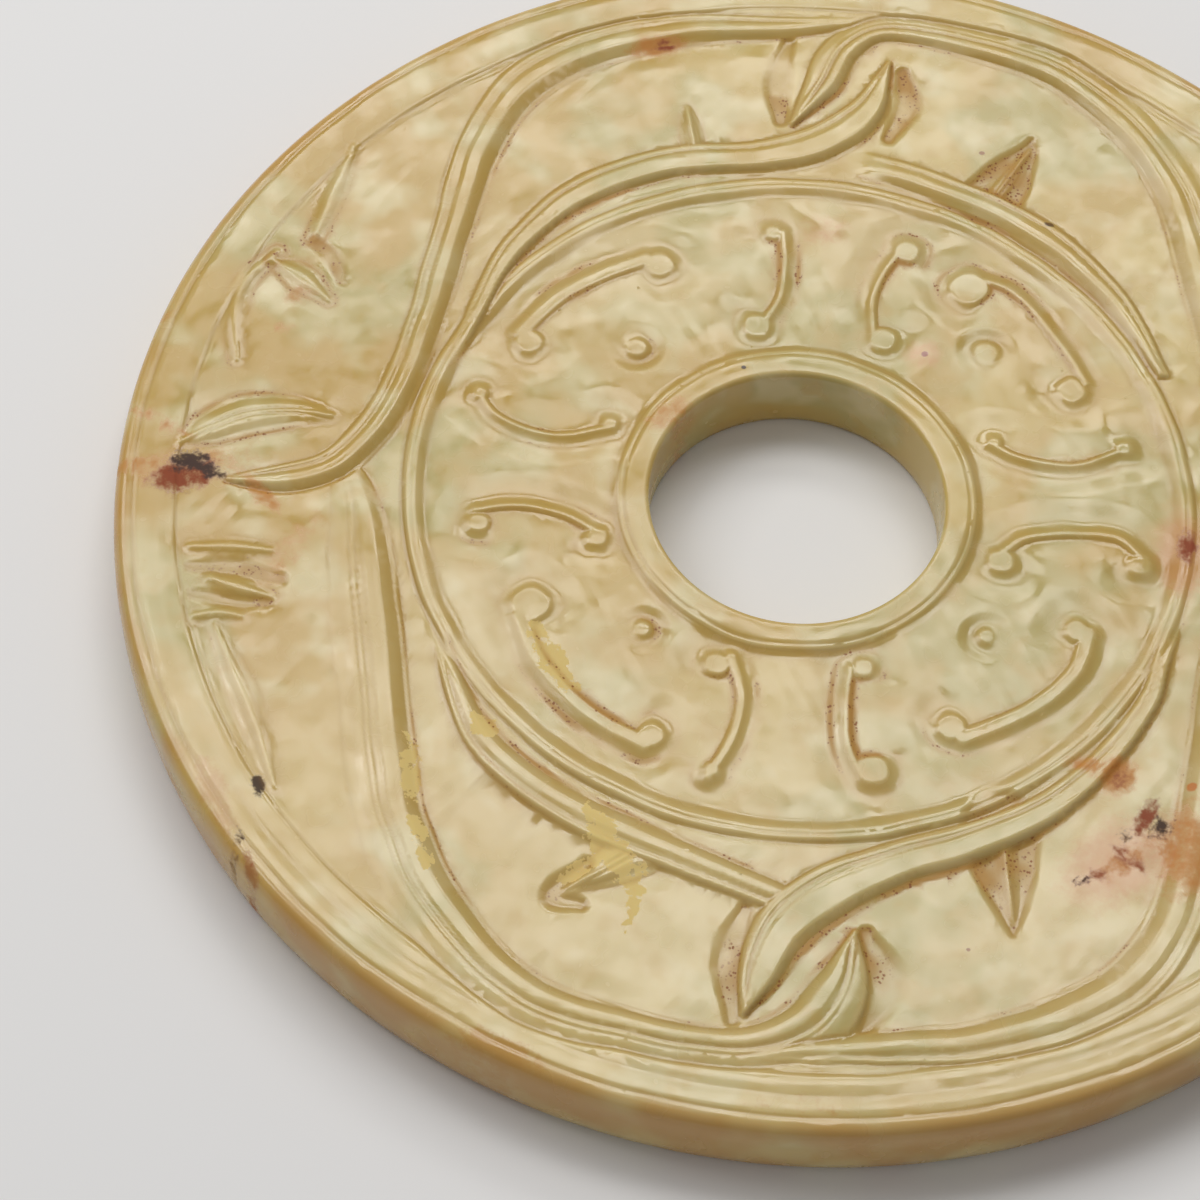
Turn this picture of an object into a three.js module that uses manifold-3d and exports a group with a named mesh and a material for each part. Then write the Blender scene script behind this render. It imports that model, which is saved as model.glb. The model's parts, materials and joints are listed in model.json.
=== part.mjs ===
// Jade bi disc: a flat ring of stone, carved in low relief on its upper face, lying face up.
// Millimetres, +Z up. The origin is the middle of the disc, on the surface that it lies on.

import * as THREE from 'three';
import { mergeVertices } from 'three/addons/utils/BufferGeometryUtils.js';
import Module from 'manifold-3d';

const wasm = await Module();
wasm.setup();

// Driving dimensions
const DISC_RADIUS = 55;
const THICKNESS = 6.9;
const HOLE_RADIUS = 11.7;
const HOLE_CENTRE = [-1.1, -0.7];
const HOLE_RING_RADIUS = 14.2;
const INNER_CIRCLE_CENTRE = [-1, 0];
const INNER_CIRCLE_RADIUS = 30.6;
const INNER_CIRCLE_HALF_WIDTH = 1;
const BORDER_INNER_RADIUS = 50.3;
const RELIEF = 0.75;
const UNDERSIDE_RECESS = 0.35;

// Levels that follow from them
const GROUND = THICKNESS - RELIEF;
const ROOT = GROUND - 0.6;
const BAND_HEIGHT = 0.6;
const TOP_BAND_HEIGHT = 0.78;
const HOOK_HEIGHT = 0.62;
const BOSS_HEIGHT = 0.68;
const CLAW_HEIGHT = 0.48;
const MASK_HEIGHT = 0.38;
const SCOOP_DEPTH = 0.3;

const ROUND_SIDES = 80;
const SMALL_ROUND_SIDES = 48;
const STATION_SPACING = 3.6;
const HOOK_STATION_SPACING = 2.2;

// A half turn about the middle of the disc, which carries one half of the carving to the other
const halfTurn = (path) => path.map(([x, y, halfWidth]) => [-x, -y, halfWidth]);

// Serpent bodies. Each point is x, y and half the width of the band there.
const WEST_UPPER_BAND = [
  [-3, 47.6, 1.2], [-12, 47, 1.7], [-20.5, 43.8, 2.1], [-25.2, 39.6, 2.2], [-28.2, 33.6, 2],
  [-30.3, 22.5, 1.7], [-32.8, 9.4, 1.5], [-35, 3.9, 1.5], [-38, 0, 1.4], [-41.8, -1.5, 1.3], [-46, -1.9, 0.4],
];
const WEST_LOWER_BAND = [
  [-39.5, 3, 1.2], [-36.4, -1.6, 1.6], [-35.1, -8, 2.5], [-33.2, -20, 2.7], [-31, -31, 2.7],
  [-27.6, -38, 2.6], [-20.5, -45, 2.1], [-11, -47.7, 1.7], [-4, -48.2, 1.8], [0.2, -46.4, 2.3],
  [2.4, -43.2, 2.2], [3.6, -38.6, 0.3],
];
const SOUTH_INNER_BAND = [
  [28.6, -10, 0.5], [25.2, -19.4, 0.8], [19, -27, 1.1], [12, -31, 1.4], [5.5, -33.6, 1.8],
  [1, -36, 2.1], [-1.8, -39, 2], [-3.4, -42.6, 1.4], [-4.3, -45.5, 0.3],
];
const SOUTH_TUCKED_BAND = [
  [-28.6, -15, 0.5], [-24.6, -24, 1.2], [-18.5, -29, 1.4], [-11, -32.5, 1.4], [-2, -36.4, 1.2],
];
const NORTH_BORDER_BAND = [
  [39.5, -3, 1.2], [36.4, 1.6, 1.6], [35.1, 8, 2.4], [33.2, 20, 2.5], [31, 31, 2.3],
  [27.4, 38.2, 2.1], [20.6, 44.7, 1.9], [12.5, 47.5, 1.6], [5.5, 48.1, 1.3], [2.3, 45.8, 1.5],
  [0.6, 42, 1.4], [-2, 37.3, 0.3],
];
const NORTH_INNER_BAND = [
  [-29.3, 11, 0.5], [-24.6, 22.8, 1], [-19.4, 28.6, 1.2], [-12, 32.2, 1.3], [-4, 33.5, 1.5],
  [1, 35.7, 1.8], [4.3, 39, 1.6], [6.2, 44.5, 0.3],
];
const NORTH_TUCKED_BAND = [
  [3.4, 33.6, 1.2], [11, 30.9, 1.4], [18.6, 26.8, 1.4], [24.4, 20.8, 1.1], [28.4, 13, 0.5],
];

const TOP_BANDS = [WEST_UPPER_BAND, SOUTH_INNER_BAND, NORTH_INNER_BAND, halfTurn(WEST_UPPER_BAND)];
const LOWER_BANDS = [WEST_LOWER_BAND, SOUTH_TUCKED_BAND, NORTH_BORDER_BAND, NORTH_TUCKED_BAND];

// Claws: pointed leaves that stand on the bands, from the root to the tip
const CLAWS = [
  [[14.6, -30.8, 2.5], [14.9, -33.8, 1.6], [15.2, -37, 0.2]],
  [[-12.5, -32.6, 1.9], [-15, -34.4, 1.2], [-17.8, -36.2, 0.2]],
  [[15, 30.6, 2.5], [16.6, 33.2, 1.6], [18.2, 35.9, 0.2]],
  [[-11.4, 34.2, 1.9], [-11.8, 37, 1.2], [-12.2, 40, 0.2]],
];

// The two animal masks at the sides, drawn once for the left side
const MASK = [
  [[-38.6, 3.4, 1.2], [-42.6, 4.4, 1.7], [-46.4, 4.3, 1.6], [-50, 1.6, 0.3]],
  [[-38.7, 32, 0.3], [-40.2, 27, 0.9], [-41.3, 22, 0.4]],
  [[-44.5, 19.8, 0.3], [-42, 18.1, 1.2], [-39.6, 16.1, 0.3]],
  [[-44.2, 20.6, 0.4], [-46.6, 17.4, 0.7], [-47, 13.4, 0.7], [-46.4, 9.6, 0.3]],
  [[-48.2, -9.2, 0.4], [-45, -9.4, 0.8], [-41.4, -9.5, 0.3]],
  [[-46.8, -12.3, 0.4], [-44.2, -12.4, 0.8], [-41.6, -12.7, 0.3]],
  [[-45.6, -15.3, 0.3], [-43.2, -20.4, 0.8], [-41, -25.2, 0.7], [-39.8, -29, 0.3]],
];

// Hooks of the inner zone: the crest line of each, then the flat bosses that it curls into
const HOOKS = [
  { crest: [[-23.8, 14], [-21, 17.6], [-17.4, 20.3], [-13.8, 22.3]], bosses: [[-23.1, 13.1, 1], [-12.7, 21.6, 1.1]] },
  { crest: [[-27, 8.1], [-25.3, 6], [-20.5, 4.3], [-16, 5.2]], bosses: [[-26.7, 7.7, 0.7], [-16, 5.4, 0.6]] },
  { crest: [[-26.4, -3.5], [-23.5, -2.9], [-19.5, -3.4], [-16.9, -4.6]], bosses: [[-26, -4.7, 0.8], [-16.8, -5.2, 0.8]] },
  { crest: [[-22.8, -12.6], [-20.6, -17], [-16.6, -21.2], [-12.4, -23.7]], bosses: [[-21.7, -11.9, 1.4], [-11.9, -22.9, 1]] },
  { crest: [[-6, -15.6], [-5.1, -19], [-5.7, -22.4], [-7.5, -26.2]], bosses: [[-7, -16.2, 1.1]] },
  { crest: [[3.4, -16], [2.9, -19.6], [3.1, -23], [3.9, -25.3]], bosses: [[4.3, -16.1, 0.9], [4.8, -25.1, 1.2]] },
  { crest: [[21, -11.6], [21, -14.6], [17.2, -18.5], [11.8, -21.7]], bosses: [[20.8, -11.6, 0.9], [10.8, -20.9, 1.1]] },
  { crest: [[15.1, -4.8], [17.2, -3.3], [24.2, -3.1], [26, -4.8]], bosses: [[15, -5.7, 1], [25.8, -5.6, 0.8]] },
  { crest: [[14.2, 5.6], [16.6, 4.3], [21, 3.9], [25.3, 5.8]], bosses: [[14.4, 5.8, 0.7], [25, 5.6, 0.7]] },
  { crest: [[12.2, 21.4], [16.2, 20.8], [19.8, 16.3], [21.8, 12]], bosses: [[12.6, 20.8, 1.4], [20.9, 10.8, 1.1]] },
  { crest: [[7.4, 24.6], [5.6, 21.4], [4.7, 18.2], [5, 15.6]], bosses: [[7.5, 24.4, 1], [5.7, 15, 1]] },
  { crest: [[-2.7, 25.6], [-2.6, 22], [-2.9, 18.8], [-3.9, 16.2]], bosses: [[-3.3, 25.4, 0.8], [-4.6, 15.6, 1.1]] },
];
const HOOK_HALF_WIDTH = 0.9;

// Eyes of the inner zone: a small boss in a round dished cut
const EYES = [[-14.4, 13.1, 0.9], [14.1, 14.3, 1.1], [-12.9, -13.6, 0.9], [13.7, -12.7, 0.8]];
const EYE_DISH_RADIUS = 2;

// Deeper cuts beside the knots and round the claws
const SCOOPS = [
  [[-4.9, -37.6, 0.3], [-5.9, -41, 0.8], [-5.3, -46, 0.3]],
  [[4.6, -39, 0.3], [6.1, -42.8, 0.9], [4.6, -46.2, 0.3]],
  [[-2.6, 46, 0.3], [-3.1, 42, 0.7], [-3, 38, 0.3]],
  [[7.5, 43, 0.3], [7.9, 40, 0.7], [6.8, 37.2, 0.3]],
  [[12, -33.4, 0.3], [12.7, -37, 0.6], [15.2, -38.2, 0.7], [16.9, -35.6, 0.6], [17.9, -31.6, 0.3]],
  [[16, 34.6, 0.3], [18.6, 37.2, 0.6], [19.6, 34, 0.3]],
];

// A closed mesh becomes a solid once its shared corners are merged.
function solid(geometry) {
  geometry.deleteAttribute('normal');
  geometry.deleteAttribute('uv');
  const merged = mergeVertices(geometry, 1e-4);
  return new wasm.Manifold(new wasm.Mesh({
    numProp: 3,
    vertProperties: new Float32Array(merged.attributes.position.array),
    triVerts: new Uint32Array(merged.index.array),
  }));
}

// A turned form about a vertical line. The profile lists radius and height, from below to above.
function turned(profile, sides, [x, y] = [0, 0]) {
  const points = profile.map(([radius, height]) => new THREE.Vector2(radius, height));
  const geometry = new THREE.LatheGeometry(points, sides);
  geometry.rotateX(Math.PI / 2);
  geometry.translate(x, y, 0);
  return solid(geometry);
}

// Sweeps a section along a path. A section point is a share of the half width and a height.
function swept(path, section, spacing) {
  const curve = new THREE.CatmullRomCurve3(path.map((point) => new THREE.Vector3(...point)));
  const stations = Math.max(2, Math.round(curve.getLength() / spacing));
  const corners = [];
  for (let i = 0; i <= stations; i += 1) {
    const centre = curve.getPointAt(i / stations);
    const along = curve.getTangentAt(i / stations).setZ(0).normalize();
    for (const [share, height] of section) {
      const reach = share * centre.z;
      corners.push(centre.x - along.y * reach, centre.y + along.x * reach, height);
    }
  }
  return solid(skin(corners, section.length, stations));
}

// Joins each section to the next with two triangles a side, and closes the two ends.
function skin(corners, sides, stations) {
  const index = [];
  for (let i = 0; i < stations; i += 1) {
    for (let j = 0; j < sides; j += 1) {
      const a = i * sides + j;
      const b = i * sides + (j + 1) % sides;
      index.push(a, b, a + sides, b, b + sides, a + sides);
    }
  }
  const last = stations * sides;
  for (let j = 1; j < sides - 1; j += 1) {
    index.push(0, j + 1, j);
    index.push(last, last + j, last + j + 1);
  }
  const geometry = new THREE.BufferGeometry();
  geometry.setAttribute('position', new THREE.Float32BufferAttribute(corners, 3));
  geometry.setIndex(index);
  return geometry;
}

// Section of a raised band: steep edges, shoulders and a crest in the middle
function raised(height) {
  const edge = GROUND + 0.15 * height;
  const shoulder = GROUND + 0.85 * height;
  return [[1, ROOT], [1, edge], [0.65, shoulder], [0, GROUND + height], [-0.65, shoulder], [-1, edge], [-1, ROOT]];
}

// Section of a narrow ridge with a flat top, for the hooks and the masks' small forms
function ridge(height) {
  return [[1, ROOT], [0.55, GROUND + height], [-0.55, GROUND + height], [-1, ROOT]];
}

// Section of a groove, sunk below the ground
const SUNK = [[1, GROUND + 0.1], [0, GROUND - SCOOP_DEPTH], [-1, GROUND + 0.1]].reverse();

// The slab: raised border, sunk ground and a softly rounded rim, the underside sunk a little too
function blank() {
  return turned([
    [0, UNDERSIDE_RECESS], [BORDER_INNER_RADIUS - 1.4, UNDERSIDE_RECESS], [BORDER_INNER_RADIUS - 0.6, 0],
    [DISC_RADIUS - 1.1, 0], [DISC_RADIUS - 0.3, 0.6], [DISC_RADIUS, 0.45 * THICKNESS],
    [DISC_RADIUS - 0.25, THICKNESS - 1.1], [DISC_RADIUS - 0.7, THICKNESS - 0.4],
    [DISC_RADIUS - 1.5, THICKNESS], [BORDER_INNER_RADIUS, THICKNESS - 0.05],
    [BORDER_INNER_RADIUS - 0.8, GROUND], [0, GROUND],
  ], ROUND_SIDES);
}

// The raised ring round the hole, above and below, before the hole is drilled
function holeRing() {
  return turned([
    [0, 0], [HOLE_RING_RADIUS, 0], [HOLE_RING_RADIUS + 0.5, UNDERSIDE_RECESS + 0.2],
    [HOLE_RING_RADIUS + 0.5, GROUND - 0.2], [HOLE_RING_RADIUS - 0.6, THICKNESS - 0.12],
    [0, THICKNESS - 0.12],
  ], SMALL_ROUND_SIDES, HOLE_CENTRE);
}

function hole() {
  return turned([
    [0, -1], [HOLE_RADIUS + 1.5, -1], [HOLE_RADIUS, 0.5], [HOLE_RADIUS, THICKNESS - 0.6],
    [HOLE_RADIUS + 0.5, THICKNESS - 0.1], [HOLE_RADIUS + 1.6, THICKNESS + 1], [0, THICKNESS + 1],
  ], SMALL_ROUND_SIDES, HOLE_CENTRE);
}

function innerCircle() {
  const inside = INNER_CIRCLE_RADIUS - INNER_CIRCLE_HALF_WIDTH;
  const outside = INNER_CIRCLE_RADIUS + INNER_CIRCLE_HALF_WIDTH;
  return turned([
    [inside - 0.2, ROOT], [outside + 0.2, ROOT], [outside + 0.2, GROUND + 0.05],
    [outside - 0.4, GROUND + 0.42], [inside + 0.4, GROUND + 0.42], [inside - 0.2, GROUND + 0.05],
    [inside - 0.2, ROOT],
  ], ROUND_SIDES, INNER_CIRCLE_CENTRE);
}

function boss([x, y, radius]) {
  const top = GROUND + BOSS_HEIGHT;
  return turned([[0, ROOT], [radius + 0.25, ROOT], [radius + 0.25, GROUND], [radius, top], [0, top]], 8, [x, y]);
}

function eyeDish([x, y]) {
  const lip = GROUND + 0.1;
  return turned([[0, GROUND - 0.35], [EYE_DISH_RADIUS * 0.6, GROUND - 0.3], [EYE_DISH_RADIUS, lip], [0, lip]], 16, [x, y]);
}

function hook({ crest, bosses }) {
  const path = crest.map(([x, y]) => [x, y, HOOK_HALF_WIDTH]);
  const bar = swept(path, ridge(HOOK_HEIGHT), HOOK_STATION_SPACING);
  return [bar, ...bosses.map(boss)];
}

const sweepAll = (paths, section) => paths.map((path) => swept(path, section, STATION_SPACING));

const cuts = [...EYES.map(eyeDish), ...sweepAll(SCOOPS, SUNK)];
const raisedParts = [
  holeRing(),
  innerCircle(),
  ...sweepAll(LOWER_BANDS, raised(BAND_HEIGHT)),
  ...sweepAll(TOP_BANDS, raised(TOP_BAND_HEIGHT)),
  ...sweepAll(CLAWS, ridge(CLAW_HEIGHT)),
  ...sweepAll([...MASK, ...MASK.map(halfTurn)], ridge(MASK_HEIGHT)),
  ...HOOKS.flatMap(hook),
  ...EYES.map(boss),
];

let disc = blank();
for (const cut of cuts) disc = disc.subtract(cut);
for (const part of raisedParts) disc = disc.add(part);
disc = disc.subtract(hole());

const carved = disc.getMesh();
const discGeometry = new THREE.BufferGeometry();
discGeometry.setAttribute('position', new THREE.Float32BufferAttribute(carved.vertProperties, 3));
discGeometry.setIndex(new THREE.Uint32BufferAttribute(carved.triVerts, 1));
discGeometry.computeVertexNormals();

const jade = new THREE.MeshStandardMaterial({ color: 0xcfc397, roughness: 0.35, metalness: 0 });
const discMesh = new THREE.Mesh(discGeometry, jade);
discMesh.name = 'bi_disc';

const group = new THREE.Group();
group.add(discMesh);
export default group;
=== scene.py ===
# %% [markdown]
# # A jade bi disc
# A bi is a flat ring of jade. This one was sawn as a round slab, drilled a little off its middle,
# and then carved: the ground was ground away so that a border, a ring round the hole, twined
# serpent bodies and curled hooks were left standing less than a millimetre proud. Jade is too hard
# to cut with steel, so every form was worn out of it with grit, and every edge is a little soft.
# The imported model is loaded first. Everything below is made in its place and at its size.

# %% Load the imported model
import json
import math

import bpy
import numpy as np
from mathutils import Matrix, Vector

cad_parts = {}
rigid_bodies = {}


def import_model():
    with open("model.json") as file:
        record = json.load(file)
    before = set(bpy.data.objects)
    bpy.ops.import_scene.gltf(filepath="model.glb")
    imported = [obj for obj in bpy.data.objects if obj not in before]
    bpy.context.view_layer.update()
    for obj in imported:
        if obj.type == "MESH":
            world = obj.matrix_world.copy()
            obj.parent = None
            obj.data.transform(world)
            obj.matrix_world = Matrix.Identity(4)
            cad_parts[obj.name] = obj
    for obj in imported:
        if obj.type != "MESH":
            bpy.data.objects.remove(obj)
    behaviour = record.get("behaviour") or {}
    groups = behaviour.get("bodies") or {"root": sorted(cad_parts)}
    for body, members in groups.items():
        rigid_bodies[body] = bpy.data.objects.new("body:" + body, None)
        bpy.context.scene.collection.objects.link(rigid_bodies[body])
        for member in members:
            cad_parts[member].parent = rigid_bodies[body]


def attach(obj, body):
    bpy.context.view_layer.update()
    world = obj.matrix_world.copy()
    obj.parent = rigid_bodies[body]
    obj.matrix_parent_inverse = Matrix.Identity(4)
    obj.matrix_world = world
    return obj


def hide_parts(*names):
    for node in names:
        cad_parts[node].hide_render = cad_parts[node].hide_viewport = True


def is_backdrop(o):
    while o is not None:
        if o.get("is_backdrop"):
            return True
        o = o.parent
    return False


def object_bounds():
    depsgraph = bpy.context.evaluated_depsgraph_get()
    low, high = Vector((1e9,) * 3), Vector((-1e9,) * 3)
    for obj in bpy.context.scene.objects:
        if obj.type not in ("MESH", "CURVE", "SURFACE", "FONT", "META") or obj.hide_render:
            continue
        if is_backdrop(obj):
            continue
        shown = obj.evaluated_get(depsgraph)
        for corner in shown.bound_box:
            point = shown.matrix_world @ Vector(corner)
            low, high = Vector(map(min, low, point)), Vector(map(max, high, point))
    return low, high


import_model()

MM = 0.001
cad_low, cad_high = [[float(v) for v in corner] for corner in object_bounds()]
DISC_RADIUS = (cad_high[0] - cad_low[0]) / 2 / MM
print("disc radius", round(DISC_RADIUS, 2), "mm")


# %% [markdown]
# ## The camera
# The photograph looks down on the disc from in front with a long lens, so near and far parts are
# almost the same size. The elevation, the small roll and the distance were worked out from the rim
# and the hole, which are circles on the real disc and ellipses in the picture. The Standard view
# shows each colour as it was mixed.

# %% Place the camera
THICKNESS = 6.9
LENS = 101.4
ELEVATION = math.radians(58.25)
ROLL = math.radians(-2.915)
AIM = Vector((-16.24, -11.43, THICKNESS)) * MM
DISTANCE = 260.97 * MM


def place_camera():
    """Aims the camera at a point of the top face, tilted by the roll."""
    back = Vector((0, -math.cos(ELEVATION), math.sin(ELEVATION)))
    level = Vector((1, 0, 0))
    rise = back.cross(level)
    right = math.cos(ROLL) * level - math.sin(ROLL) * rise
    up = math.sin(ROLL) * level + math.cos(ROLL) * rise
    data = bpy.data.cameras.new("camera")
    data.lens, data.sensor_width, data.clip_start = LENS, 36, 0.01
    camera = bpy.data.objects.new("camera", data)
    bpy.context.scene.collection.objects.link(camera)
    turn = Matrix((right, up, back)).transposed().to_4x4()
    camera.matrix_world = Matrix.Translation(AIM + back * DISTANCE) @ turn
    bpy.context.scene.camera = camera


place_camera()
bpy.context.scene.view_settings.view_transform = "Standard"
print("camera", round(DISTANCE / MM), "mm away")


# %% [markdown]
# ## Levels and lines of the carving
# All the carving lies between the border's top and a ground cut a little under it. The lines are
# the carver's drawing on the slab, read off the photograph. Each point is x, y and half the width
# of the form there, in millimetres. What is there twice, half a turn apart, is drawn once.

# %% Levels of the carving, in millimetres
HOLE_CENTRE = (-1.1, -0.7)
HOLE_RING_RADIUS = 13.7
CIRCLE_CENTRE = (-1.0, 0.0)
CIRCLE_RADIUS = 31.2
BORDER_FROM = 50.0
EDGE_LINE_RADIUS = 53.5
OUTER_GROUND = THICKNESS - 0.47
SIDE_GROUND = THICKNESS - 0.22
INNER_GROUND = THICKNESS - 0.42
BAND_HEIGHT = 0.42


def half_turn(path):
    """The same line on the other side of the disc, turned half round."""
    return [(-x, -y, w) for x, y, w in path]


print("the outer ground lies", round(THICKNESS - OUTER_GROUND, 2), "mm under the top")

# %% The serpent bodies
WEST_UPPER_BAND = [
    (4.5, 49.2, 0.25), (-2.6, 48, 1.1), (-12, 47, 1.7), (-20.5, 43.9, 2.1), (-25.3, 39.8, 2.2),
    (-28.2, 33.6, 2), (-30.3, 22.5, 1.7), (-32.8, 9.4, 1.5), (-35, 3.9, 1.5), (-38, 0, 1.5),
    (-41.8, -1.5, 1.4), (-46, -1.9, 0.3),
]
WEST_LOWER_BAND = [
    (-38, 1.4, 1), (-36.4, -1.6, 1.6), (-35.1, -8, 2.5), (-33.2, -20, 2.7), (-31, -31, 2.7),
    (-27.6, -38, 2.6), (-20.5, -45, 2.1), (-11, -47.7, 1.7), (-4, -48.2, 1.8), (0.2, -46.4, 2.3),
    (2.4, -43.2, 2.2), (3.6, -38.6, 0.25),
]
SOUTH_INNER_BAND = [
    (28.6, -10, 0.5), (25.2, -19.4, 0.9), (19, -26.8, 1.3), (12, -30.8, 1.6), (5.5, -33.4, 1.9),
    (1, -36, 2.2), (-1.8, -39, 2.1), (-3.4, -42.6, 1.5), (-4.3, -45.5, 0.25),
]
SOUTH_TUCKED_BAND = [
    (-28.6, -15, 0.5), (-24.6, -24, 1.3), (-18.5, -29, 1.6), (-11, -32.4, 1.5), (-2, -36, 1.3),
]
NORTH_BORDER_BAND = [
    (38, -1.4, 1), (36.4, 1.6, 1.6), (35.1, 8, 2.4), (33.2, 20, 2.5), (31, 31, 2.3),
    (27.4, 38.2, 2.1), (20.6, 44.7, 1.9), (12.5, 47.5, 1.6), (5.5, 48.1, 1.4), (2.3, 45.8, 1.6),
    (0.6, 42, 1.5), (-2, 37.3, 0.25),
]
NORTH_INNER_BAND = [
    (-29.3, 11, 0.5), (-24.6, 22.8, 1.1), (-19.4, 28.7, 1.5), (-12, 32.4, 1.6), (-4, 33.6, 1.7),
    (1, 35.7, 1.9), (4.3, 39, 1.6), (6.2, 44.5, 0.25),
]
NORTH_TUCKED_BAND = [
    (3.4, 33.6, 1.4), (11, 30.9, 1.5), (18.6, 26.8, 1.5), (24.4, 20.8, 1.2), (28.4, 13, 0.5),
]
print("the longest band has", len(WEST_LOWER_BAND), "drawn points")

# %% Claws, masks and scoops
CLAWS = [
    [(14.6, -30, 0.8), (14.9, -33.6, 0.65), (15.2, -37, 0.15)],
    [(-12.5, -32.8, 1.9), (-15, -34.5, 1.2), (-17.8, -36.2, 0.15)],
    [(15, 30.6, 1.1), (16.6, 33.2, 0.8), (18.2, 35.9, 0.15)],
    [(-10.4, 34.6, 0.8), (-10.7, 36.4, 0.7), (-11, 38.4, 0.15)],
]
MASK_LEAF = [
    (-38.4, 4.7, 0.4), (-41.5, 4.9, 1.3), (-45, 4.4, 1.8), (-48, 3, 1.4), (-50.2, 1.3, 0.25),
]
MASK_RIDGES = [
    [(-38.7, 32, 0.4), (-40.2, 27, 0.9), (-41.3, 22.3, 0.5)],
    [(-44.5, 19.8, 0.3), (-42, 18.2, 1.1), (-39.6, 16.1, 0.3)],
    [(-44.2, 20.6, 0.5), (-46.6, 17.4, 0.7), (-47, 13.4, 0.7), (-46.4, 9.8, 0.4)],
    [(-48.2, -8.2, 0.4), (-45, -8.1, 0.7), (-42, -8.3, 0.4)],
    [(-46.4, -11.1, 0.4), (-44, -11.8, 0.8), (-41.6, -12.5, 0.3)],
    [(-47.2, -14.6, 0.4), (-45.4, -14.2, 0.6), (-43.6, -14.4, 0.3)],
    [(-45.6, -15.3, 0.3), (-43.2, -20.4, 0.8), (-41, -25.2, 0.7), (-39.8, -29, 0.3)],
]
MASK_CUTS = [
    [(-41.3, 22.2, 0.3), (-39.6, 20.4, 0.5), (-38.6, 18.2, 0.3)],
    [(-48, -10.1, 0.3), (-44.6, -10, 0.6), (-41, -10.8, 0.3)],
    [(-47.5, -12.6, 0.3), (-44.6, -13, 0.5), (-42, -12.9, 0.3)],
]
SCOOPS = [
    [(-4.4, -37.2, 0.3), (-5.6, -40.6, 1), (-5.2, -46, 0.3)],
    [(4.4, -38.6, 0.3), (6, -42.6, 1.2), (4.4, -46.4, 0.3)],
    [(-2.4, 46.4, 0.3), (-3.3, 42, 1), (-3, 37.6, 0.3)],
    [(7.4, 43.6, 0.3), (7.9, 40, 0.9), (6.2, 36.4, 0.3)],
    [(-16.5, -37.4, 0.3), (-18.6, -36.8, 0.7), (-16.2, -34, 0.3)],
]
RECESSES = [
    [(14.5, -29, 2.9), (14.8, -33, 2.3), (15.1, -36.6, 0.9), (15.2, -38, 0.2)],
    [(14.6, 30, 2.6), (16.4, 33, 2), (18, 35.8, 0.8), (18.4, 37, 0.2)],
]
print(len(CLAWS), "claws and", len(MASK_RIDGES), "small ridges on each mask")

# %% [markdown]
# A hook is the line of its crest, its flat ends (x, y and radius), half the width of the crest and
# the side that its bend opens to. An eye is its place, its radius and the angle at which the groove
# round it is deepest.

# %% Hooks and eyes of the inner zone
HOOKS = [
    ([(-23.8, 14), (-21, 17.6), (-17.4, 20.3), (-13.8, 22.2)],
     [(-23.1, 13.1, 1), (-12.7, 21.7, 1.1)], 0.5, -1),
    ([(-27, 8.1), (-25.3, 5.8), (-20.5, 4.1), (-16.2, 5)],
     [(-26.8, 7.9, 0.5), (-16.2, 5.4, 0.5)], 0.14, 1),
    ([(-26.4, -3.4), (-23.5, -2.8), (-19.5, -3.3), (-16.9, -4.6)],
     [(-26, -4.7, 0.75), (-16.7, -5.3, 0.75)], 0.16, -1),
    ([(-22.4, -12.8), (-20.6, -17), (-16.6, -21.2), (-12.4, -23.6)],
     [(-21.6, -11.8, 1.4), (-11.9, -22.9, 0.9)], 0.5, 1),
    ([(-5.9, -15.6), (-5.1, -19), (-5.7, -22.4), (-7.5, -26.2)],
     [(-7, -16.4, 0.9), (-7.2, -25.6, 0.5)], 0.3, -1),
    ([(3.2, -16.2), (2.9, -19.6), (3.1, -23), (3.9, -25.2)],
     [(4.2, -16.1, 0.7), (4.9, -25, 1.15)], 0.2, 1),
    ([(21.6, -12), (20.6, -15.2), (17.2, -18.7), (11.8, -21.8)],
     [(20.7, -11.8, 0.8), (10.9, -20.9, 1)], 0.5, -1),
    ([(15.1, -4.8), (17.2, -3.3), (24.2, -3.1), (26.2, -4.8)],
     [(15, -5.7, 0.95), (25.8, -5.5, 0.8)], 0.2, -1),
    ([(14.2, 5.4), (16.6, 4.2), (21, 3.7), (25.3, 5.6)],
     [(14.6, 5.5, 0.4), (25, 5.6, 0.55)], 0.14, 1),
    ([(13, 22), (16.2, 20.8), (19.8, 16.3), (22.2, 11.8)],
     [(12.8, 20.8, 1.5), (21, 11, 1.1)], 0.16, -1),
    ([(7.4, 24.6), (5.6, 21.6), (4.8, 18.2), (4.9, 15.6)],
     [(7.7, 24.2, 0.95), (5.7, 15.2, 1)], 0.2, 1),
    ([(-2.6, 25.6), (-2.5, 22), (-2.9, 18.8), (-3.9, 16.4)],
     [(-3.4, 25.5, 0.6), (-4.6, 15.8, 1)], 0.2, -1),
]
EYES = [
    (-14.4, 13.1, 0.8, -50), (14.1, 14.3, 0.95, 100), (-12.9, -13.6, 0.6, 20),
    (13.7, -12.7, 0.55, 180),
]
print(len(HOOKS), "hooks and", len(EYES), "eyes")


# %% [markdown]
# ## The slab as a mesh
# The slab starts as two circles. The rim is pulled out of the one and the wall of the hole out of
# the other, ring by ring, as a potter would turn them. Their last rings are bridged underneath and
# their first ones on top, and the top is cut into a fine even net. The carving will move its points
# up and down. One height per point is enough, because nothing on the real disc is undercut.

# %% Helpers for edit mode
SPOKES = 560
TOP_RINGS = 84
TOP_CUTS = 2
set_mode = bpy.ops.object.mode_set


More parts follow.
